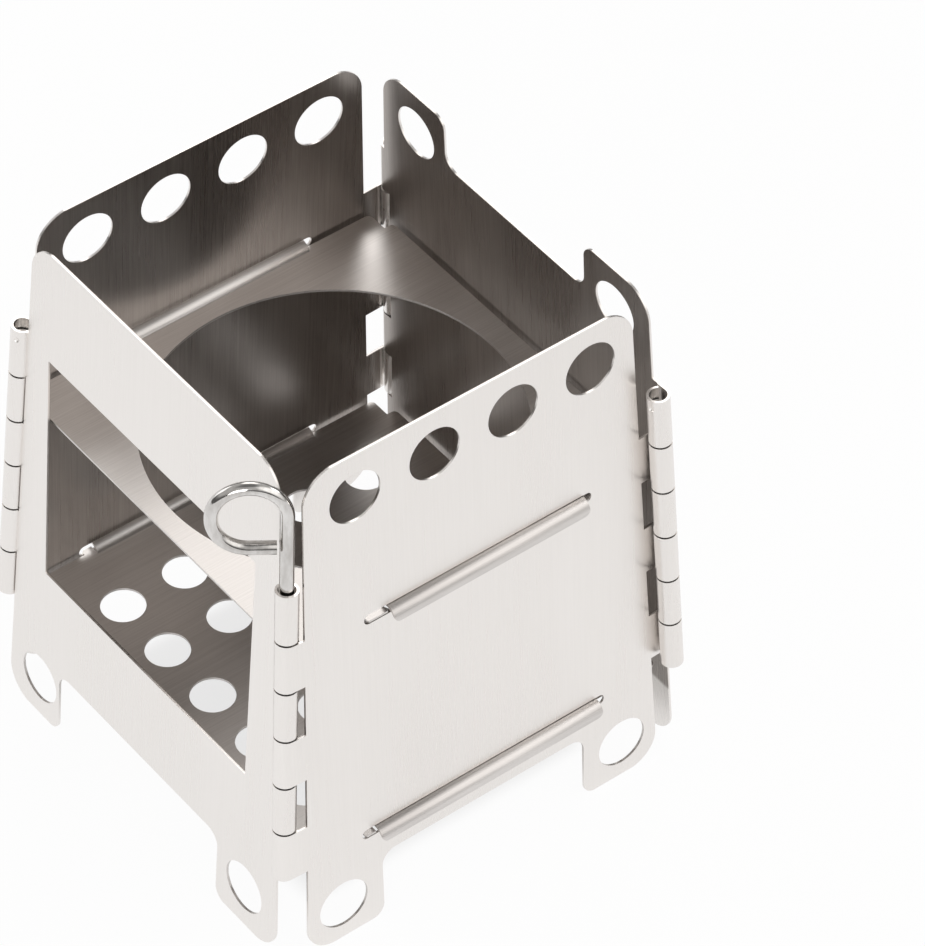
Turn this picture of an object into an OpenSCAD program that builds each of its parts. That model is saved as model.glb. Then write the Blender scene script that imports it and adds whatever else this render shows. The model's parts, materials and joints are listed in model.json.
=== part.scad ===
/* [Body] */
// Outside width of the four walls at the ground, in mm
base_w = 131; // [118:1:160]
// Outside width of the four walls at the pot rest, in mm
top_w = 114; // [103:1:150]
// Height of the front and side walls over the ground, in mm
wall_h = 166; // [150:1:200]
// Distance of the rear wall's plain top edge under the other walls' tops, in mm
rear_drop = 19; // [4:0.5:21]
// How far the front wall stands in at the ground, in mm
door_in = 0.2; // [0:0.1:1]
// How far the front wall stands in at its top, in mm
door_top_in = 2.3; // [0:0.1:3]
// Thickness of every sheet, in mm
sheet = 0.7; // [0.6:0.05:0.9]
// Radius of the walls' top corners, in mm
corner_r = 10; // [5:0.5:14]

/* [Cut Edges] */
// Distance of the front wall's right edge from the corner line, in mm
door_right_in = 5.4; // [5.2:0.1:7]
// Distance of the front wall's left edge from the corner line, in mm
door_left_in = 4.2; // [4.2:0.1:6]
// Distance of the right wall's front edge from the corner line at the bottom, in mm
side_low_in = 6.9; // [6.5:0.1:8]
// Distance of the right wall's front edge from the corner line at the top, in mm
side_high_in = 5; // [4.9:0.1:7]
// Distance of the left wall's front edge from the corner line, in mm
left_in = 6.2; // [6.1:0.1:8]
// Distance of the rear wall's right edge from the corner line, in mm
rear_right_in = 1.6; // [1.4:0.1:4]
// Distance of the rear wall's left edge from the corner line, in mm
rear_left_in = 3.5; // [3:0.1:5]
// Distance of the left wall's rear edge from the corner line, in mm
edge_in = 5.6; // [5.6:0.1:7]

/* [Feet and Ears] */
// Height of the walls' bottom edge over the ground, in mm
skirt_z = 22.5; // [20:0.5:27]
// Width of a foot, from the corner line to its inner edge, in mm
foot_w = 32; // [31:0.5:36]
// The same for the front wall's left foot, in mm
door_foot_w = 27.1; // [26.5:0.1:32]
// Height of the hole in a foot over the ground, in mm
foot_hole_z = 12.2; // [11.5:0.1:13]
// Height of the holes in the front wall's feet over the ground, in mm
door_hole_z = 13.5; // [11.5:0.1:13.5]
// Distance of a foot's hole from the corner line, in mm
foot_hole_in = 19.1; // [18:0.1:20]
// How far the front wall's holes and its window stand to the left, in mm
door_shift = 0.9; // [0:0.1:1.5]
// Diameter of the holes in the feet and the ears, in mm
foot_hole_d = 15.4; // [10:0.2:16]
// Outer corner radius of a foot and an ear, in mm
foot_r = 9; // [5:0.5:10]
// Inner corner radius of a foot and an ear, in mm
toe_r = 4; // [2:0.5:6]
// Radius of the hollow corner between a foot and the wall, in mm
fillet_r = 4.5; // [2:0.5:7]
// Distance of an ear's top under the side walls' tops, in mm
ear_drop = 3; // [0:0.5:4]
// Width of an ear, in mm
ear_w = 26.5; // [25:0.5:28]
// Distance of the hole in an ear under the side walls' tops, in mm
ear_hole_drop = 16.4; // [14:0.1:17]

/* [Feed Window] */
// Distance of the feed window's sides from the corner lines at the ground, in mm
window_in = 21; // [21:0.5:35]
// Height of the feed window's lower edge over the ground, in mm
window_z = 54.4; // [45:0.1:65]
// Height of the feed window itself, in mm
window_h = 75.7; // [50:0.1:80]

/* [Top Holes] */
// Number of round holes along the top of a side wall
vent_n = 4; // [3:1:4]
// Distance of the outer holes from the corner lines at the top, in mm
vent_in = 20.2; // [18:0.1:26]
// How far the left wall's holes stand towards the rear, in mm
vent_shift = 1.2; // [0:0.1:2]
// Diameter of a top hole, in mm
vent_d = 15.6; // [8:0.2:17]
// Distance of the top holes under the walls' tops, in mm
vent_drop = 13.8; // [12:0.2:16]

/* [Shelves] */
// Height of the ring plate's upper face, in mm
ring_z = 108; // [100:0.5:114]
// Diameter of the opening in the ring plate, in mm
ring_d = 102; // [80:1:106]
// Height of the grate plate's upper face, in mm
grate_z = 32.2; // [31:0.2:36]
// Distance between neighbouring grate holes, in mm
grate_pitch = 20.4; // [16:0.2:21]
// Diameter of a grate hole, in mm
grate_d = 12.5; // [8:0.5:15]
// Number of grate holes along each side
grate_n = 5; // [3:1:5]
// Gap between a plate and the inner face of a wall, in mm
plate_gap = 0.9; // [0.5:0.1:2]
// Width of the notches at the plates' corners, in mm
notch_w = 6.7; // [5.4:0.1:9]
// Depth of the notches at the plates' corners, in mm
notch_d = 2.9; // [2.8:0.1:5]
// Radius of the plates' corners, in mm
plate_r = 1.5; // [0.5:0.1:2.5]
// Width of the ring plate's slots, in mm
ring_slot_w = 72.6; // [60:0.1:80]
// Width of the grate plate's slots, in mm
grate_slot_w = 80; // [60:1:84]
// How far the slots stand towards the rear, in mm
slot_shift = 0.5; // [0:0.1:1]
// Free height of a slot under the sheet in it, in mm
slot_under = 0.3; // [0.25:0.05:0.6]
// Free height of a slot over the sheet in it, in mm
slot_over = 2.3; // [2.3:0.1:3]
// Gap between a tab's front end and the end of its slot, in mm
tab_gap = 1.2; // [1:0.1:2]
// Length of a ring plate's slot in front of the rolled lip, in mm
ring_lip_front = 7.4; // [4:0.2:9]
// Length of a grate's slot in front of the rolled lip, in mm
grate_lip_front = 4.4; // [3:0.2:9]
// Free length of a slot behind its lip, in mm
lip_rear = 2.6; // [1.2:0.2:6]
// Outer radius of a rolled lip, in mm
lip_ro = 3.5; // [3.2:0.1:3.8]
// Height of a rolled lip's crest over the plate, in mm
lip_crest = 2; // [1.2:0.1:2]
// Length of the straight end of a lip outside the wall, in mm
lip_len = 0.5; // [0.3:0.1:1.5]
// Radius of a lip's lower corners, in mm
lip_r = 2; // [0.5:0.1:2.5]

/* [Hinges] */
// Outside diameter of the rolled knuckles, in mm
knuckle_d = 6.2; // [6:0.1:6.4]
// Height of the front right corner's lowest knuckle over the ground, in mm
knuckle_z = 32; // [31:0.1:34]
// How much higher the left corners' knuckles stand, in mm
left_rise = 2.8; // [0:0.1:4]
// How much higher the rear right corner's knuckles stand, in mm
rear_rise = 5.8; // [0:0.1:6]
// Length of the six knuckles of a corner together, in mm
knuckle_len = 98; // [88:1:100]
// Gap between neighbouring knuckles, in mm
knuckle_gap = 0.6; // [0.4:0.1:1]
// Distance of the front hinge lines behind the front wall's face, in mm
front_axis_in = 0.7; // [0.5:0.1:1]
// Distance of the left front hinge line behind the left wall's face, in mm
left_axis_in = 0.7; // [0.5:0.1:1]
// Distance of the rear right hinge line outside the right wall, in mm
hinge_out = 4; // [3.8:0.1:5]
// Angle of the gap between a rolled end and its sheet, in degrees
curl_gap = 50; // [40:1:60]
// The same where the sheet meets the middle of a knuckle, in degrees
mid_gap = 26; // [20:1:40]
// Diameter of the three hinge pins that stay in, in mm
hinge_pin_d = 4.1; // [3.6:0.1:4.2]
// Depth of the hinge pins' ends inside the outer knuckles, in mm
pin_recess = 3.6; // [3:0.2:6]
// Distance of a crimp under a knuckle's upper end, in mm
crimp_drop = 2.9; // [2.5:0.1:4]

/* [Lock Pin] */
// Diameter of the lock pin's wire, in mm
wire_d = 3.6; // [3:0.1:4]
// Outside width of the wire loop, in mm
loop_w = 22.3; // [20:0.1:26]
// Height of the wire loop's lowest face over the ground, in mm
loop_z = 142.2; // [138:0.1:144]
// Height of the wire loop's top over the ground, in mm
loop_top = 165; // [165:0.1:172]
// Direction of the loop seen from above, in degrees from the front wall
loop_turn = 55; // [50:1:65]

/* [Hidden] */
$fn = 72;
eps = 0.02;
hb = base_w / 2;
k = (base_w - top_w) / 2 / wall_h;
kf = k + (door_top_in - door_in) / wall_h;
q = sqrt(1 + k * k);
qf = sqrt(1 + kf * kf);
r = knuckle_d / 2;
rear_in = 2 * r + 0.8;
notch_in = 2 * r + 0.4;
rear_h = wall_h - rear_drop;
ear_z = wall_h - ear_drop;
ear_hole_z = wall_h - ear_hole_drop;
vent_z = wall_h - vent_drop;
vent_pitch = (top_w - 2 * vent_in) / (vent_n - 1);
window_w = base_w - 2 * window_in;
door_h = wall_h * qf / q;
slot_h = sheet + slot_under + slot_over;
bend_r = 0.8;
spare = 0.1;
pitch = knuckle_len / 6;

// The hinge corners: side in x, side in y, the axis distance outside the wall in x,
// the same for the wall in y, and the height of the lowest knuckle
FRONT_RIGHT = [1, -1, -r, -front_axis_in, knuckle_z];
FRONT_LEFT = [-1, -1, -left_axis_in, -front_axis_in, knuckle_z + left_rise];
REAR_LEFT = [-1, 1, -r, r - sheet, knuckle_z + left_rise];
REAR_RIGHT = [1, 1, hinge_out, -r, knuckle_z + rear_rise];

steel = [0.80, 0.79, 0.77];
inner_steel = [0.62, 0.61, 0.59];
wire_steel = [0.86, 0.86, 0.85];

// Half width of a wall's outer face at slant height v
function half(v) = hb - k * v / q;
// Slant height of a point on the outer face at height z
function slant(z) = z * q;
// How far out the front or rear wall stands at the ground, and how much it leans
function base_y(c) = c[1] < 0 ? hb - door_in : hb;
function lean_y(c) = c[1] < 0 ? kf : k;
// The point of a corner's hinge axis at height z
function spot_x(c, z) = c[0] * (hb - k * z + c[2] * q);
function spot_y(c, z) = c[1] * (base_y(c) - lean_y(c) * z + c[3] * (c[1] < 0 ? qf : q));
// The direction of a corner's hinge axis
function rise(c) = [-c[0] * k, -c[1] * lean_y(c), 1] / norm([k, lean_y(c), 1]);
// The outward direction of a corner's wall in x (0) or in y (1)
function facing(c, wall) = wall == 0 ? [c[0], 0, k] / q : [0, c[1], lean_y(c)] / norm([1, lean_y(c)]);

// A round-cornered tab whose foot edge is open, from x0 to x1 and down to y = 0
// ro is the corner radius on the far side, ri the one on the near side
module tab_shape(x0, x1, top, ro, ri, slope) {
    difference() {
        polygon([[x0, 0], [x1 + slope * top, 0], [x1, top], [x0, top]]);
        difference() {
            translate([x0 - 1, -1]) square([ri + 1, ri + 1]);
            translate([x0 + ri, ri]) circle(ri);
        }
        difference() {
            translate([x1 + slope * (top - ro) - ro, -1]) square([ro + 2, ro + 1]);
            translate([x1 + slope * (top - ro) - ro, ro]) circle(ro);
        }
    }
}

// The hollow corner between an edge on the left and a tab at x0, under height 0
module fillet_shape(x0, rf) {
    difference() {
        translate([x0 - rf, -rf]) square([rf + eps, rf + eps]);
        translate([x0 - rf, -rf]) circle(rf);
    }
}

// One foot in the wall's own plane, right half
module foot_half(ein, width) {
    top = slant(skirt_z);
    x0 = hb - width;
    x1 = half(top) - ein;
    translate([0, -spare]) tab_shape(x0, x1, top + spare, foot_r, toe_r, k / q);
    translate([0, top]) fillet_shape(x0, fillet_r);
}

// One wall's outline in its own plane, with rounded top corners and two feet
// left and right give the cut edges' distances from the corner lines, below and above
module wall_shape(top, left, right, round_top, foot_left, foot_right) {
    v0 = slant(skirt_z);
    v1 = slant(top);
    difference() {
        polygon([[-(half(v0) - left[0]), v0], [half(v0) - right[0], v0],
                 [half(v1) - right[1], v1], [-(half(v1) - left[1]), v1]]);
        if (round_top > 0) {
            top_round(half(v1) - right[1], v1, round_top, k / q);
            mirror([1, 0]) top_round(half(v1) - left[1], v1, round_top, k / q);
        }
    }
    foot_half(right[0], foot_right);
    mirror([1, 0]) foot_half(left[0], foot_left);
}

// What a rounded top corner takes away
module top_round(x, v, rr, s) {
    difference() {
        translate([x - rr + s * rr, v - rr]) square([rr + 2, rr + 1]);
        translate([x - rr + s * rr, v - rr]) circle(rr);
    }
}

// Deeper cuts in a wall's right edge beside the neighbour's knuckles, the places 2, 4 and 6
module edge_notches(c, ein) {
    for (i = [0 : 2]) {
        z1 = c[4] + knuckle_len - (2 * i + 1) * pitch + knuckle_gap / 2;
        z0 = c[4] + knuckle_len - (2 * i + 2) * pitch - knuckle_gap / 2;
        polygon([[half(slant(z0)) - ein, slant(z0)], [hb + 5, slant(z0)],
                 [hb + 5, slant(z1)], [half(slant(z1)) - ein, slant(z1)]]);
    }
}

// One ear of the rear wall, right half
module ear_half(ein) {
    v0 = slant(rear_h);
    v1 = slant(ear_z);
    x1 = half(v0) - ein;
    difference() {
        union() {
            translate([0, v1]) mirror([0, 1]) tab_shape(x1 - ear_w, x1, v1 - v0, foot_r, toe_r, -k / q);
            translate([0, v0]) mirror([0, 1]) fillet_shape(x1 - ear_w, fillet_r);
        }
        ear_hole(ein);
    }
}

// The hole in an ear
module ear_hole(ein) {
    x1 = half(slant(rear_h)) - ein;
    translate([x1 - ear_w / 2 - 0.9, slant(ear_hole_z)]) circle(foot_hole_d / 2);
}

// The holes in a wall's two feet
module foot_holes(z, shift) {
    for (side = [-1, 1]) {
        translate([side * (hb - foot_hole_in) + shift, slant(z)]) circle(foot_hole_d / 2);
    }
}

// Puts a flat outline into a leaning wall; turn is the wall's direction round the middle
module stand(turn) {
    tilt = turn == 0 ? atan(kf) : atan(k);
    out = turn == 0 ? hb - door_in : hb;
    rotate([0, 0, turn]) translate([0, -out, 0]) rotate([90 - tilt, 0, 0]) children();
}

// Trims what stands in a wall level with the ground and with the pot rest
module trimmed() {
    wide = 2 * base_w;
    difference() {
        children();
        translate([-base_w, -base_w, -5]) cube([wide, wide, 5]);
        translate([-base_w, -base_w, wall_h]) cube([wide, wide, 5]);
    }
}

// Turns a flat outline into sheet whose outer face lies at w = 0
module sheet_of() {
    translate([0, 0, -sheet]) linear_extrude(sheet) children();
}

// The axis frame of a corner's hinge: x past the wall's cut edge, y along the axis, z outward
module at_axis(c, wall) {
    n = facing(c, wall);
    a = rise(c);
    s = cross(a, n);
    flip = wall == 0 ? c[0] * c[1] < 0 : c[0] * c[1] > 0;
    multmatrix([[s[0], a[0], n[0], spot_x(c, 0)],
                [s[1], a[1], n[1], spot_y(c, 0)],
                [s[2], a[2], n[2], 0],
                [0, 0, 0, 1]])
        mirror([flip ? 1 : 0, 0, 0]) children();
}

// Distance along a corner's axis of the point at height z
function along(c, z) = z / rise(c)[2];

// The rolled part of a knuckle: a ring with a gap next to its own sheet
module curl_shape() {
    difference() {
        circle(r);
        circle(r - sheet);
        polygon([[0, 0], [0, 2 * r], [-2 * r * tan(curl_gap), 2 * r]]);
    }
}

// A knuckle's section when its sheet runs in at the outer side
module knuckle_in(reach) {
    curl_shape();
    translate([-reach, r - sheet]) square([reach, sheet]);
}

// A knuckle's section when its sheet meets the middle, its outer face at the height w
module knuckle_mid(reach, w) {
    difference() {
        circle(r);
        circle(r - sheet);
        polygon([[0, w - sheet], [-3 * r, w - sheet], [-3 * r, w - sheet - 3 * r * tan(mid_gap)]]);
    }
    translate([-reach, w - sheet]) square([reach - r + 0.8 * sheet, sheet]);
}

// A knuckle's section when its sheet bends outward at the corner and rolls round from behind
module knuckle_bent(reach, dist) {
    difference() {
        circle(r);
        circle(r - sheet);
        polygon([[0, 0], [2 * r, 0], [2 * r, -2 * r * tan(curl_gap)]]);
    }
    translate([r - sheet, -dist + bend_r]) square([sheet, dist - bend_r]);
    difference() {
        translate([r - sheet - bend_r, -dist + bend_r]) circle(bend_r + sheet);
        translate([r - sheet - bend_r, -dist + bend_r]) circle(bend_r);
        translate([r - sheet - bend_r - 2 * r, -dist + bend_r]) square([4 * r, 2 * r]);
        translate([r - sheet - bend_r - 2 * r, -dist - 2 * r]) square([2 * r, 4 * r]);
    }
    translate([-reach, -dist - sheet]) square([reach + r - sheet - bend_r, sheet]);
}

// Repeats a knuckle section for three of the six places of a corner
// first is 0 for the places 1, 3 and 5 from the top and 1 for 2, 4 and 6
module three(c, wall, first) {
    at_axis(c, wall) for (i = [0 : 2]) {
        n = 2 * i + first;
        z1 = c[4] + knuckle_len - n * pitch - (n == 0 ? 0 : knuckle_gap / 2);
        z0 = c[4] + knuckle_len - (n + 1) * pitch + (n == 5 ? 0 : knuckle_gap / 2);
        len = along(c, z1) - along(c, z0);
        translate([0, along(c, z1), 0]) rotate([90, 0, 0]) linear_extrude(len) children();
    }
}

// The small crimp in a corner's top knuckle that holds the hinge pin
module crimp(c, direction) {
    z = c[4] + knuckle_len - crimp_drop;
    translate([spot_x(c, z), spot_y(c, z), z]) rotate([0, 0, direction]) translate([r + 0.75, 0, 0]) sphere(1.1);
}

// Slot with round ends for a plate's tab, given by the plate's upper height
module slot_shape(z, w, shift) {
    flat = w - slot_h;
    v = slant(z - sheet) - slot_under;
    translate([shift - flat / 2, v]) square([flat, slot_h]);
    for (side = [-1, 1]) {
        translate([shift + side * flat / 2, v + slot_h / 2]) circle(slot_h / 2);
    }
}

// A side wall with its top holes and two slots; rear is 1 where x runs to the rear, else -1
module side_shape(left, right, rear, shift) {
    difference() {
        wall_shape(wall_h + spare, left, right, corner_r, foot_w, foot_w);
        foot_holes(foot_hole_z, 0);
        for (i = [0 : vent_n - 1]) {
            x = (i - (vent_n - 1) / 2) * vent_pitch + rear * shift;
            translate([x, slant(vent_z)]) circle(vent_d / 2);
        }
        slot_shape(ring_z, ring_slot_w, rear * slot_shift);
        slot_shape(grate_z, grate_slot_w, rear * slot_shift);
    }
}

// Front wall with the feed window; its knuckles are the places 1, 3 and 5
module door_panel() {
    color(steel) difference() {
        trimmed() {
            stand(0) sheet_of() difference() {
                wall_shape(door_h + spare, [door_left_in, door_left_in], [door_right_in, door_right_in],
                           corner_r, door_foot_w, foot_w);
                foot_holes(door_hole_z, -door_shift);
                translate([-window_w / 2 - door_shift, slant(window_z)]) square([window_w, window_h]);
                edge_notches(FRONT_RIGHT, notch_in);
                mirror([1, 0]) edge_notches(FRONT_LEFT, left_axis_in + r + 0.4);
            }
            three(FRONT_RIGHT, 1, 0) knuckle_mid(door_right_in - r + 1, front_axis_in);
            three(FRONT_LEFT, 1, 0) knuckle_mid(door_left_in - left_axis_in + 1, front_axis_in);
        }
        crimp(FRONT_LEFT, -63);
    }
}

// Right wall; rolled inward at the front, bent outward and rolled at the rear
module right_panel() {
    color(steel) trimmed() {
        stand(90) sheet_of() side_shape([side_low_in, side_high_in], [rear_in, rear_in], 1, 0);
        three(FRONT_RIGHT, 0, 1) knuckle_in(side_low_in);
        three(REAR_RIGHT, 0, 1) knuckle_bent(rear_in - r + 1, hinge_out);
    }
}

// Rear wall with two ears; rolled outward at the left, inward past the right wall
module rear_panel() {
    color(inner_steel) difference() {
        trimmed() {
            stand(180) sheet_of() difference() {
                union() {
                    wall_shape(rear_h, [rear_right_in, rear_right_in], [rear_left_in, rear_left_in],
                               0, foot_w, foot_w);
                    ear_half(rear_left_in);
                    mirror([1, 0]) ear_half(rear_right_in);
                }
                foot_holes(foot_hole_z, 0);
                ear_hole(rear_left_in);
                mirror([1, 0]) ear_hole(rear_right_in);
                edge_notches(REAR_LEFT, edge_in);
            }
            three(REAR_LEFT, 1, 0) mirror([0, 1]) knuckle_in(rear_left_in - r + 1.5);
            three(REAR_RIGHT, 1, 0) knuckle_in(rear_right_in + hinge_out + 1);
        }
        crimp(REAR_RIGHT, -75);
        crimp(REAR_LEFT, 100);
    }
}

// Left wall; rolled round the middle at the front, reaching past the rear wall at the rear
module left_panel() {
    color(inner_steel) trimmed() {
        stand(-90) sheet_of() side_shape([edge_in, edge_in], [left_in, left_in], -1, vent_shift);
        three(FRONT_LEFT, 0, 1) knuckle_mid(left_in, left_axis_in);
        three(REAR_LEFT, 0, 1) knuckle_in(edge_in + r - sheet + 1);
    }
}

// A rectangle with rounded corners, given by two opposite corners
module round_rect(x0, y0, x1, y1, rr) {
    translate([x0 + rr, y0]) square([x1 - x0 - 2 * rr, y1 - y0]);
    translate([x0, y0 + rr]) square([x1 - x0, y1 - y0 - 2 * rr]);
    for (x = [x0 + rr, x1 - rr]) {
        for (y = [y0 + rr, y1 - rr]) {
            translate([x, y]) circle(rr);
        }
    }
}

// Half width of a plate at its height, and the place of its front edge
function plate_x(z) = hb - k * z - sheet * q - plate_gap;
function plate_front(z) = -(hb - door_in - kf * z - sheet * qf - plate_gap);

// A plate's flat outline between the walls, without its tabs
module plate_shape(z) {
    hx = plate_x(z);
    y0 = plate_front(z);
    round_rect(-hx, y0 + notch_d, hx, hx - notch_d, plate_r);
    round_rect(-hx + notch_w, y0, hx - notch_w, hx, plate_r);
}

// The middle of a rolled lip, in the middle of the wall's sheet, and its height from the plate
function lip_x(z) = hb - k * z - sheet / 2;
lip_y = lip_crest - lip_ro;
// Where a plate's flat sheet runs into the roll
function lip_root(z) = lip_x(z) - sqrt(pow(lip_ro - sheet / 2, 2) - pow(lip_y + sheet / 2, 2));

// Section of a lip, rolled over the wall's slot and down; x runs outward, y up from the plate
module lip_shape(z) {
    far = 2 * lip_ro;
    difference() {
        translate([lip_x(z), lip_y]) circle(lip_ro);
        translate([lip_x(z), lip_y]) circle(lip_ro - sheet);
        translate([lip_x(z) - far, -sheet - far]) square([far, far]);
        translate([lip_x(z), lip_y - far]) square([far, far]);
    }
    translate([lip_x(z) + lip_ro - sheet, lip_y - lip_len]) square([sheet, lip_len]);
}

// What the rounded lower corner of a lip takes away, at the end towards -y
module lip_corner(z) {
    low = z + lip_y - lip_len;
    translate([lip_x(z) + 0.5, 0, low]) rotate([90, 0, 90]) linear_extrude(2 * lip_ro) difference() {
        translate([-1, -1]) square([lip_r + 1, lip_r + 1]);
        translate([lip_r, lip_r]) circle(lip_r);
    }
}

// A plate's outline without the places where the sheet is rolled
// front is the length of a slot in front of its lip
module rolled_plate(z, w, front) {
    difference() {
        plate_shape(z);
        for (side = [0, 1]) {
            mirror([side, 0, 0]) translate([lip_root(z), slot_shift - w / 2 + front]) {
                square([2 * lip_ro, w - front - lip_rear]);
            }
        }
    }
}

// Both rolled lips of a plate, and the flat tab in front of each that lies in the slot
module lips(z, w, front) {
    y0 = slot_shift - w / 2 + front;
    y1 = slot_shift + w / 2 - lip_rear;
    ya = slot_shift - w / 2 + tab_gap;
    face = hb - k * z;
    for (side = [0, 1]) {
        mirror([side, 0, 0]) {
            difference() {
                translate([0, y1, z]) rotate([90, 0, 0]) linear_extrude(y1 - y0) lip_shape(z);
                translate([0, y0, 0]) lip_corner(z);
                translate([0, y1, 0]) mirror([0, 1, 0]) lip_corner(z);
            }
            translate([0, 0, z - sheet]) linear_extrude(sheet) {
                polygon([[plate_x(z) - 1, ya], [face - 0.5, ya], [face, ya + 0.5], [face, y0],
                         [plate_x(z) - 1, y0]]);
            }
        }
    }
}

// Upper plate with the round opening
module ring_plate() {
    color(inner_steel) {
        translate([0, 0, ring_z - sheet]) linear_extrude(sheet) difference() {
            rolled_plate(ring_z, ring_slot_w, ring_lip_front);
            circle(ring_d / 2);
        }
        lips(ring_z, ring_slot_w, ring_lip_front);
    }
}

// Lower plate with the grate holes
module grate_plate() {
    color(inner_steel) {
        translate([0, 0, grate_z - sheet]) linear_extrude(sheet) difference() {
            rolled_plate(grate_z, grate_slot_w, grate_lip_front);
            for (i = [0 : grate_n - 1]) {
                for (j = [0 : grate_n - 1]) {
                    mid = (grate_n - 1) / 2;
                    translate([(i - mid) * grate_pitch, (j - mid) * grate_pitch]) circle(grate_d / 2);
                }
            }
        }
        lips(grate_z, grate_slot_w, grate_lip_front);
    }
}

// A pin that stays in its hinge, shorter than the knuckles
module hinge_pin(c) {
    a0 = along(c, c[4] + pin_recess);
    a1 = along(c, c[4] + knuckle_len - pin_recess);
    at_axis(c, 1) translate([0, a0, 0]) rotate([-90, 0, 0]) cylinder(h = a1 - a0, d = hinge_pin_d);
}

module left_front_hinge_pin() {
    color(wire_steel) hinge_pin(FRONT_LEFT);
}

module left_rear_hinge_pin() {
    color(wire_steel) hinge_pin(REAR_LEFT);
}

module right_rear_hinge_pin() {
    color(wire_steel) hinge_pin(REAR_RIGHT);
}

// The loop in the plane x, y: x away from the shank, y up along it
module wire_loop(y0, y1, w) {
    b = w / 2;
    translate([b, y1 - b, 0]) rotate_extrude(angle = 180) translate([b, 0]) circle(wire_d / 2);
    translate([w, y0 + b, 0]) rotate([-90, 0, 0]) cylinder(h = y1 - y0 - 2 * b, d = wire_d);
    translate([b, y0 + b, 0]) rotate([0, 0, -90]) rotate_extrude(angle = 90) translate([b, 0]) circle(wire_d / 2);
    end = wire_d / 2 + 0.8;
    translate([end, y0, 0]) rotate([0, 90, 0]) cylinder(h = b - end, d = wire_d);
}

// The pull-out pin of the front right corner with its bent loop
module lock_pin() {
    c = FRONT_RIGHT;
    a0 = along(c, c[4] + 1.5);
    a1 = along(c, loop_top - wire_d / 2);
    b0 = along(c, loop_z + wire_d / 2);
    w = loop_w - wire_d;
    tip = 0.9;
    color(wire_steel) at_axis(c, 1) rotate([0, 180 + loop_turn, 0]) {
        translate([0, a0, 0]) rotate([-90, 0, 0]) cylinder(h = tip, d1 = wire_d - 2 * tip, d2 = wire_d);
        translate([0, a0 + tip, 0]) rotate([-90, 0, 0]) cylinder(h = a1 - w / 2 - a0 - tip, d = wire_d);
        wire_loop(b0, a1, w);
    }
}

door_panel();
right_panel();
rear_panel();
left_panel();
ring_plate();
grate_plate();
lock_pin();
left_front_hinge_pin();
left_rear_hinge_pin();
right_rear_hinge_pin();
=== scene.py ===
# %% [markdown]
# # A folding twig stove of thin stainless sheet
#
# Four tapering walls are joined by rolled knuckles and pins, two plates sit in slots, and one
# pin with a wire loop pulls out so that the walls fold flat. The exact shapes are already made
# as solids. This script loads them, rounds their cut edges a little, and gives each of them the
# finish of brushed sheet or drawn wire.

# %% Load the frame
import json
from math import radians, sqrt

import bmesh
import bpy
from mathutils import Matrix, Vector


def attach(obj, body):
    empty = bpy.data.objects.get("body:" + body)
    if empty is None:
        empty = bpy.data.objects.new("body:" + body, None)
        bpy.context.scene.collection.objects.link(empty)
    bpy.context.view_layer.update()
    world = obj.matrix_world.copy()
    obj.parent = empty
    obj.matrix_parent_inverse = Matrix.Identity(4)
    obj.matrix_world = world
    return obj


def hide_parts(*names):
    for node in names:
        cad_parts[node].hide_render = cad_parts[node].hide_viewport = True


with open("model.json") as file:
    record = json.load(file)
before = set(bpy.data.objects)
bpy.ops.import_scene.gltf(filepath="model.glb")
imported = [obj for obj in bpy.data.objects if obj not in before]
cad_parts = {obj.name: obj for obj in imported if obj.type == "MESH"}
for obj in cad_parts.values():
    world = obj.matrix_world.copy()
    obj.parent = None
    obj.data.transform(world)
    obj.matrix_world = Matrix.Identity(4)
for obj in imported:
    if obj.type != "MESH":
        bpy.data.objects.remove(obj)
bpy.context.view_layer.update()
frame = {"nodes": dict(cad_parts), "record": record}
scene = bpy.context.scene
scene.view_settings.view_transform = "Standard"
print("nodes:", ", ".join(sorted(frame["nodes"])))

# %% [markdown]
# ## The camera
#
# The view is from above and in front of the right wall, from about one and a half metres, so
# the walls' edges hardly converge. The camera is placed by a matrix of its own right, up and
# back directions. The sensor's fit is set, because the picture is a little taller than wide.

# %% Camera
EYE = Vector((0.8346, -0.6190, 1.1532))
RIGHT = Vector((0.6130, 0.7901, 0.0100))
UP = Vector((-0.5691, 0.4327, 0.6992))
SENSOR = 36.0
PICTURE_HEIGHT, FOCAL_PIXELS = 946.0, 5713.0

view = bpy.data.cameras.new("camera")
view.sensor_fit = "VERTICAL"
view.sensor_width = view.sensor_height = SENSOR
view.lens = FOCAL_PIXELS * SENSOR / PICTURE_HEIGHT
view.clip_start, view.clip_end = 0.01, 50
camera = bpy.data.objects.new("camera", view)
right = RIGHT.normalized()
up = (UP - UP.dot(right) * right).normalized()
turned = Matrix((right, up, right.cross(up))).transposed()
camera.matrix_world = Matrix.Translation(EYE) @ turned.to_4x4()
scene.collection.objects.link(camera)
scene.camera = camera
print("lens", round(view.lens, 1), "mm")

# %% [markdown]
# ## Shader maths as Python
#
# A material's pattern is arithmetic on numbers that change over the surface. The class below
# wraps one socket and overloads the operators, so that a pattern reads as a formula and each
# operator adds its own Math node.

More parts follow.
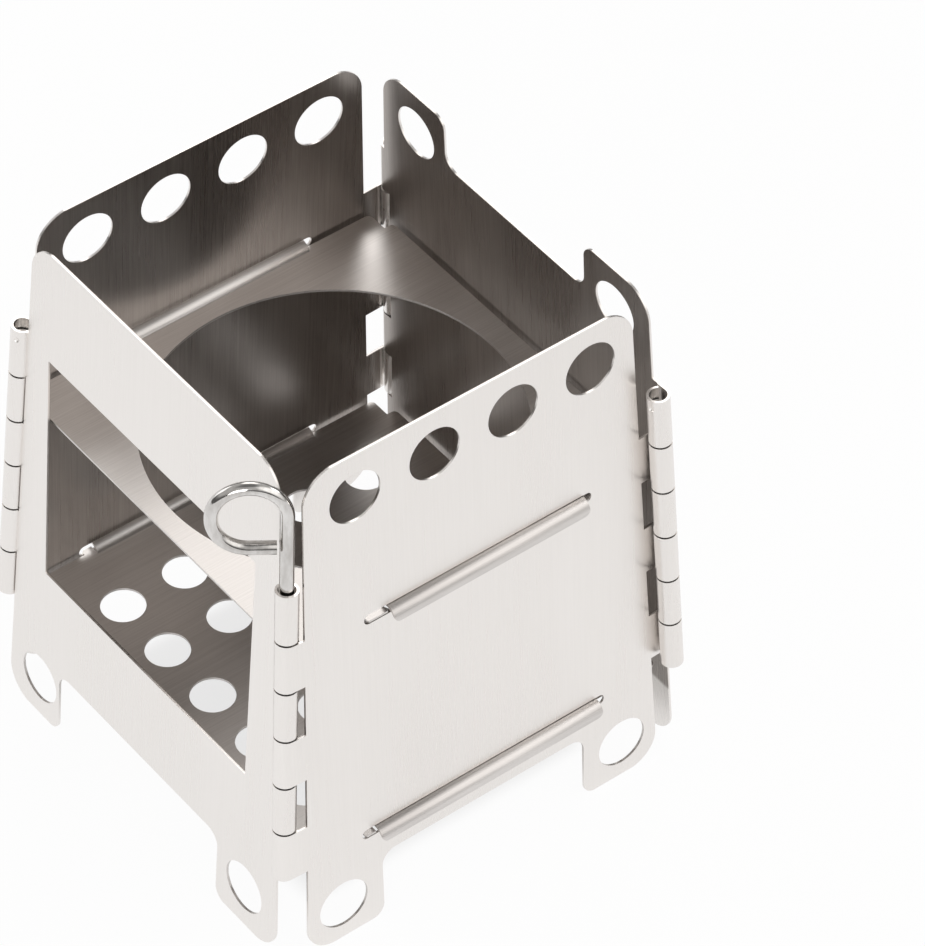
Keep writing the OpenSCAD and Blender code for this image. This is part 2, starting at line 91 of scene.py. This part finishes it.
# %% The socket class
class Field:
    """One number or vector that changes over a surface, as a socket of a node tree."""

    def __init__(self, tree, socket=None):
        self.tree, self.socket = tree, socket

    def node(self, kind, settings=None, out=0, **inputs):
        """Adds a node of a kind, with its settings first and then its sockets."""
        made = self.tree.nodes.new(kind)
        for name, value in (settings or {}).items():
            setattr(made, name, value)
        plug(made, inputs)
        return Field(self.tree, made.outputs[out])

    def maths(self, operation, *others):
        sockets = {f"i{n}": value for n, value in enumerate((self, *others))}
        return self.node("ShaderNodeMath", {"operation": operation}, **sockets)

    def __add__(self, other):
        return self.maths("ADD", other)

    def __sub__(self, other):
        return self.maths("SUBTRACT", other)

    def __mul__(self, other):
        return self.maths("MULTIPLY", other)

    __radd__, __rmul__ = __add__, __mul__

    def __rsub__(self, other):
        return self.node("ShaderNodeMath", {"operation": "SUBTRACT"}, i0=other, i1=self)

    def clamped(self, low=0.0, high=1.0):
        return self.node("ShaderNodeClamp", Value=self, Min=low, Max=high)

    def steps(self, low, high):
        """0 below low, 1 above high, and smooth between them."""
        return self.node("ShaderNodeMapRange", {"interpolation_type": "SMOOTHSTEP"},
                         Value=self, From_Min=low, From_Max=high)

    def along(self, direction):
        """The part of a vector that runs along a direction."""
        return self.node("ShaderNodeVectorMath", {"operation": "DOT_PRODUCT"}, out="Value",
                         i0=self, i1=direction)


def plug(node, inputs):
    """Feeds a node's inputs, each with a plain value or a field.

    An input goes by its label, with _ for a space, or by an i and its number.
    """
    for name, value in inputs.items():
        index = int(name[1:]) if name[0] == "i" and name[1:].isdigit() else None
        socket = node.inputs[index if index is not None else name.replace("_", " ")]
        if isinstance(value, Field):
            value.tree.links.new(value.socket, socket)
        else:
            socket.default_value = value


def material(name):
    """A new material, an empty field that its nodes start from, and its shader."""
    made = bpy.data.materials.new(name)
    made.use_nodes = True
    return made, Field(made.node_tree), made.node_tree.nodes["Principled BSDF"]


print("shader maths ready")

# %% [markdown]
# ## Brushed stainless sheet
#
# The sheets are brushed, the walls upward and the plates from front to rear, which leaves fine
# lines that stretch reflections sideways. The lines are noise that is squeezed across the sheet
# and stretched along it. They move the colour a little on the walls and more on the plates, and
# the roughness by up to a tenth, and they tilt the surface through a weak bump. A slower noise
# gives the uneven, handled look, and a slow bump warps the sheet, so that what it mirrors bends
# a little. The real sheet is one steel on both faces, but its inner faces mirror a dark room,
# which this pale stage doesn't have. So the walls' inner faces get painted shade here, a darker
# colour down to the tops of the feet, which stands in for that dark reflection and for the shade
# inside the stove. An image could give the lines too, but noise has no seams and stays sharp
# from close by.

# %% Brushed sheet
def placed(start, across, along):
    """Object coordinates, and their parts across, along and through one sheet."""
    base = start.node("ShaderNodeTexCoord", out="Object")
    through = Vector(across).cross(Vector(along))
    return base, [base.along(tuple(d)) for d in (across, along, through)]


def noise(base, u, v, w, scale, detail):
    """Noise on three numbers, each with its own scale in waves per metre."""
    joined = base.node("ShaderNodeCombineXYZ", X=u * scale[0], Y=v * scale[1], Z=w * scale[2])
    return base.node("ShaderNodeTexNoise", Vector=joined, Scale=1.0, Detail=detail, Roughness=0.5)


def tinted(base, value, dark, light):
    """A colour between two, by a value from 0 to 1."""
    return base.node("ShaderNodeMix", {"data_type": "RGBA"}, out=2, i0=value,
                     i6=(*dark, 1), i7=(*light, 1))


# Waves per metre across a sheet, along it and through it.
FINE, LINES, BANDS = (5200, 60, 300), (1500, 16, 120), (60, 5, 10)
HANDLED, WARP = (26, 14, 20), (24, 11, 15)
LINE_DEPTH, WARP_DEPTH = 0.00004, 0.0005


def sheet_steel(name, across, along, dark, light, rough=0.30, painted_shade_mask=None):
    """Brushed sheet between two colours, with a darker painted shade where the mask gives 1."""
    made, start, shader = material(name)
    base, (u, v, w) = placed(start, across, along)
    fine = noise(base, u, v, w, FINE, detail=3)
    lines = noise(base, u, v, w, LINES, detail=2)
    bands = noise(base, u, v, w, BANDS, detail=2)
    slow = noise(base, u, v, w, HANDLED, detail=3)
    streak = (fine * 0.6 + lines * 0.4).clamped()
    mixed = streak * 0.45 + bands * 0.25 + slow * 0.3
    colour = tinted(base, mixed.steps(0.30, 0.70), dark, light)
    roughness = (streak - 0.5) * 0.20 + (slow - 0.5) * 0.12 + (bands - 0.5) * 0.10 + rough
    # Painted shade: a darker colour where the mask gives 1, for the dark reflection and the shade
    # on the walls' inner faces.
    if painted_shade_mask is not None:
        painted_shade_share = painted_shade_mask(base, u)
        shade = tinted(base, mixed.steps(0.36, 0.66), *INNER_PAINTED_SHADE)
        colour = base.node("ShaderNodeMix", {"data_type": "RGBA"}, out=2,
                           i0=painted_shade_share, i6=colour, i7=shade)
    waves = noise(base, u, v, w, WARP, detail=0)
    wavy = base.node("ShaderNodeBump", Strength=1.0, Distance=WARP_DEPTH, Height=waves)
    normal = base.node("ShaderNodeBump", Strength=0.05, Distance=LINE_DEPTH,
                       Height=fine * 0.5 + lines * 0.5, Normal=wavy)
    plug(shader, {"Base Color": colour, "Roughness": roughness, "Metallic": 1.0, "Normal": normal})
    return made


# A wall is BASE wide at the ground and TOP wide at the height TALL, so the outer faces stand
# HALF from the middle at the ground and lean in by LEAN for each metre up. The front wall
# stands a little further in and leans in a little more.
BASE, TOP, TALL = 0.131, 0.114, 0.166
HALF = BASE / 2
LEAN = (BASE - TOP) / 2 / TALL
FRONT_IN = 0.0002
FRONT_LEAN = LEAN + 0.0021 / TALL
# The painted shade on the inner faces starts at the tops of the feet and keeps off the knuckles
# up to the top of the hinges. Its borders are FADE wide, five times that at the feet, and through
# the sheet it starts between two depths.
FOOT_TOP = 0.021
HINGE_TOP = 0.1363
FADE = 0.0004
DEPTHS = (0.00045, 0.00060)
OUTER = {"dark": (0.84, 0.808, 0.78), "light": (0.895, 0.865, 0.84)}
# Painted shade: the darker colours of the walls' inner faces, for the dark room they mirror and
# the shade inside the stove.
INNER_PAINTED_SHADE = ((0.30, 0.27, 0.25), (0.46, 0.425, 0.40))
PLATE = {"dark": (0.56, 0.53, 0.51), "light": (0.78, 0.75, 0.73), "rough": 0.36}


def inner_painted_shade(outward, lean, reach, low, high):
    """1 where a wall's inner face gets painted shade, from its outward direction, its lean and its
    outer face's reach.

    The feet and the knuckles keep the outer steel without painted shade: low and high are the
    widths of the strips along the wall's two edges that hold the knuckles.
    """
    def share(base, across):
        depth = base.along((outward[0], outward[1], lean)) - reach
        deep = 1 - depth.steps(-DEPTHS[1], -DEPTHS[0])
        up = base.along((0, 0, 1))
        edge = HALF - up * LEAN
        sheet = (edge - low + across).maths("MINIMUM", edge - high - across).steps(0.0, FADE)
        above = up.steps(FOOT_TOP - 5 * FADE, FOOT_TOP)
        over = up.steps(HINGE_TOP, HINGE_TOP + FADE)
        return deep * above * sheet.maths("MAXIMUM", over)
    return share


def up_of(x, y, lean):
    """The direction up along a leaning wall whose outward side is (x, y)."""
    size = sqrt(1 + lean * lean)
    return (-x * lean / size, -y * lean / size, 1 / size)


X, Y = (1, 0, 0), (0, 1, 0)
FINISH = {
    "ring_plate": sheet_steel("ring_sheet", X, Y, **PLATE),
    "grate_plate": sheet_steel("grate_sheet", X, Y, **PLATE),
}
# Each wall's finish, outward direction, lean and reach, and the widths of its knuckle strips at
# its edges on the minus and plus side. Below zero, the painted inner shade goes on past the edge.
WALLS = {
    "door_panel": ("front_sheet", (0, -1), FRONT_LEAN, HALF - FRONT_IN, 0.0039, 0.0063),
    "rear_panel": ("rear_sheet", (0, 1), LEAN, HALF, -0.002, -0.0008),
    "right_panel": ("right_sheet", (1, 0), LEAN, HALF, 0.0039, -0.01),
    "left_panel": ("left_sheet", (-1, 0), LEAN, HALF, 0.0039, 0.0008),
}
for wall, (name, outward, lean, *rest) in WALLS.items():
    FINISH[wall] = sheet_steel(name, X if outward[0] == 0 else Y, up_of(*outward, lean), **OUTER,
                               painted_shade_mask=inner_painted_shade(outward, lean, *rest))
print("sheet finishes:", len(FINISH))

# %% [markdown]
# ## Drawn wire
#
# The pins are bright drawn wire, smoother than the sheets and with short scuffs from handling.
# They are small, so one noise for the scuffs and a slower one for the wear are enough, without
# the sheet's brushed lines.

# %% Drawn wire
SCUFF, WEAR = (900, 240, 900), (90, 60, 90)
WIRE_STEEL = ((0.54, 0.52, 0.50), (0.74, 0.725, 0.71))
SCUFF_DEPTH = 0.0001


def wire_steel(name):
    """Drawn wire with scuffs that are longer along the pin than across it."""
    made, start, shader = material(name)
    base, (u, v, w) = placed(start, X, (0, 0, 1))
    scuff = noise(base, u, v, w, SCUFF, detail=4)
    slow = noise(base, u, v, w, WEAR, detail=2)
    colour = tinted(base, (scuff * 0.5 + slow * 0.5).steps(0.3, 0.7), *WIRE_STEEL)
    roughness = (scuff - 0.5) * 0.16 + (slow - 0.5) * 0.08 + 0.10
    normal = base.node("ShaderNodeBump", Strength=0.05, Distance=SCUFF_DEPTH, Height=scuff)
    plug(shader, {"Base Color": colour, "Roughness": roughness, "Metallic": 1.0, "Normal": normal})
    return made


WIRE = wire_steel("drawn_wire")
for pin in ("lock_pin", "left_front_hinge_pin", "left_rear_hinge_pin", "right_rear_hinge_pin"):
    FINISH[pin] = WIRE
print("wire finish ready")

# %% [markdown]
# ## Pieces with soft edges
#
# The solids have perfectly sharp edges, and no real edge is. A sharp edge has no face that can
# catch the light, so the thin bright outline of each cut edge is missing. Each solid's mesh is
# copied, its loose triangles are joined, and its sharp edges get a bevel of less than a tenth of
# a millimetre. Only the rolled and bent faces and the bevels are shaded smooth, so that the
# sheets stay flat. A Bevel modifier would do as well, but the mesh has to be merged anyway.

# %% Soft edges
SHARP = radians(32)
FLAT = radians(0.5)
EDGE = 0.00008
BODY = {node: body for body, nodes in frame["record"]["behaviour"]["bodies"].items()
        for node in nodes}


def softened(node):
    """A copy of a node's mesh with its triangles merged and its sharp edges rounded."""
    mesh = frame["nodes"][node].data.copy()
    mesh.name = node + "_finish"
    bm = bmesh.new()
    bm.from_mesh(mesh)
    bmesh.ops.remove_doubles(bm, verts=bm.verts, dist=1e-6)
    for face in bm.faces:
        face.smooth = any(FLAT < edge.calc_face_angle(0) < SHARP for edge in face.edges)
    sharp = [edge for edge in bm.edges if edge.calc_face_angle(0) > SHARP]
    rounded = bmesh.ops.bevel(bm, geom=sharp, affect="EDGES", offset=EDGE, segments=2, profile=0.5,
                              material=-1, clamp_overlap=True)
    for face in rounded["faces"]:
        face.smooth = True
    for edge in bm.edges:
        edge.smooth = edge.calc_face_angle(0) < SHARP
    bm.to_mesh(mesh)
    bm.free()
    piece = bpy.data.objects.new(node + "_finish", mesh)
    scene.collection.objects.link(piece)
    piece.data.materials.clear()
    piece.data.materials.append(FINISH[node])
    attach(piece, BODY[node])
    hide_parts(node)
    return piece


pieces = {node: softened(node) for node in sorted(frame["nodes"])}
for node, piece in pieces.items():
    print(node, len(piece.data.polygons), "faces")

# %% [markdown]
# ## The stage
#
# Metal shows what stands round it more than its own colour. The walls' outer faces lean back a
# little and mirror the pale floor, and the plates mirror the sky behind the left wall. So the
# floor glows, with one brightness for the camera and another for reflections, and its glow is
# dimmed under the stove as a painted shadow, where less light comes. The sky is dim overhead and
# near the horizon. One bright patch to the right lights the lips, and one to the left and behind
# lights the ring plate. Painting brightness into the steel would be simpler, but it would look
# wrong from other sides, so only the walls' inner faces get painted shade.

# %% Floor
def plane(name, size, height):
    """A level square that belongs to the stage, with size as half its side."""
    bm = bmesh.new()
    bmesh.ops.create_grid(bm, x_segments=1, y_segments=1, size=size)
    bmesh.ops.translate(bm, vec=(0, 0, height), verts=bm.verts)
    mesh = bpy.data.meshes.new(name)
    bm.to_mesh(mesh)
    bm.free()
    made = bpy.data.objects.new(name, mesh)
    scene.collection.objects.link(made)
    return made


# Metres from the middle over which the mirrored glow fades, and over which the painted shadow
# under the stove fades, first sideways and then from front to rear.
GLOW_END = (0.27, 0.38)
SEEN_SHADE = ((0.046, 0.054), (0.040, 0.050))
MIRRORED_SHADE = ((0.052, 0.064), (0.052, 0.064))

floor = plane("floor", 8.0, -0.0002)
paper, start, shader = material("floor_paper")
plug(shader, {"Base Color": (0.92, 0.92, 0.92, 1), "Roughness": 0.9, "Specular IOR Level": 0.1})
seen = start.node("ShaderNodeLightPath", out="Is Camera Ray")
mirrored = start.node("ShaderNodeLightPath", out="Is Glossy Ray")
place = start.node("ShaderNodeTexCoord", out="Object")
far = place.node("ShaderNodeVectorMath", {"operation": "LENGTH"}, out="Value", i0=place)
near = 1 - far.steps(*GLOW_END)
aside = [place.along(d).maths("ABSOLUTE") for d in (X, Y)]


def beneath(wide, deep):
    """1 on the floor under the stove, fading out between two distances each way."""
    return (1 - aside[0].steps(*wide)) * (1 - aside[1].steps(*deep))


# Painted shadow under the stove: the floor's glow is dimmed there, for the camera and in
# reflections.
seen_shade = beneath(*SEEN_SHADE) * 0.24
mirrored_shade = beneath(*MIRRORED_SHADE) * 0.80
right_rear = place.along((0.79, 0.61, 0)).steps(0.0, 0.10)
lit = (near * 0.50 + 0.38) * (1 - right_rear * 0.12) * (1 - mirrored_shade)
share = (seen * (0.96 - seen_shade)).maths("MAXIMUM", mirrored * lit)
glow = start.node("ShaderNodeEmission", Color=(1, 1, 1, 1))
mix = start.node("ShaderNodeMixShader", i0=share, i1=Field(start.tree, shader.outputs[0]), i2=glow)
plug(start.tree.nodes["Material Output"], {"Surface": mix})
floor.data.materials.append(paper)
print("floor laid")

# %% Room and lamps
world = bpy.data.worlds.new("room")
scene.world = world
world.use_nodes = True
start = Field(world.node_tree)
sky = start.node("ShaderNodeTexCoord", out="Generated")
height = sky.along((0, 0, 1))
seen = start.node("ShaderNodeLightPath", out="Is Camera Ray")
open_sky = height.steps(0.16, 0.46)
right_patch = sky.along((0.72, 0.43, 0.54)).steps(0.75, 0.95)
rear_left_patch = sky.along((-0.62, 0.49, 0.61)).steps(0.955, 0.988)
zenith = height.steps(0.84, 0.97)
lights = open_sky * 0.43 + right_patch * 0.9 + rear_left_patch * 2.2 - zenith * 0.34 + 0.12
level = lights * (1 - seen) + seen
plug(start.tree.nodes["Background"], {"Color": (1, 0.985, 0.965, 1), "Strength": level})
print("room ready")


def lamp(name, place, aim, size, power):
    """A square area lamp that faces a point."""
    light = bpy.data.lights.new(name, "AREA")
    light.size, light.energy = size, power
    made = bpy.data.objects.new(name, light)
    made.location = place
    made.rotation_mode = "QUATERNION"
    made.rotation_quaternion = (Vector(aim) - Vector(place)).to_track_quat("-Z", "Y")
    scene.collection.objects.link(made)
    return made


MIDDLE = (0, 0, 0.08)
lamp("key", (1.9, -2.2, 1.1), MIDDLE, 1.2, 26)
lamp("fill", (-2.1, -0.7, 0.9), MIDDLE, 1.4, 8)
lamp("back", (0.5, 2.3, 1.3), MIDDLE, 1.0, 6)
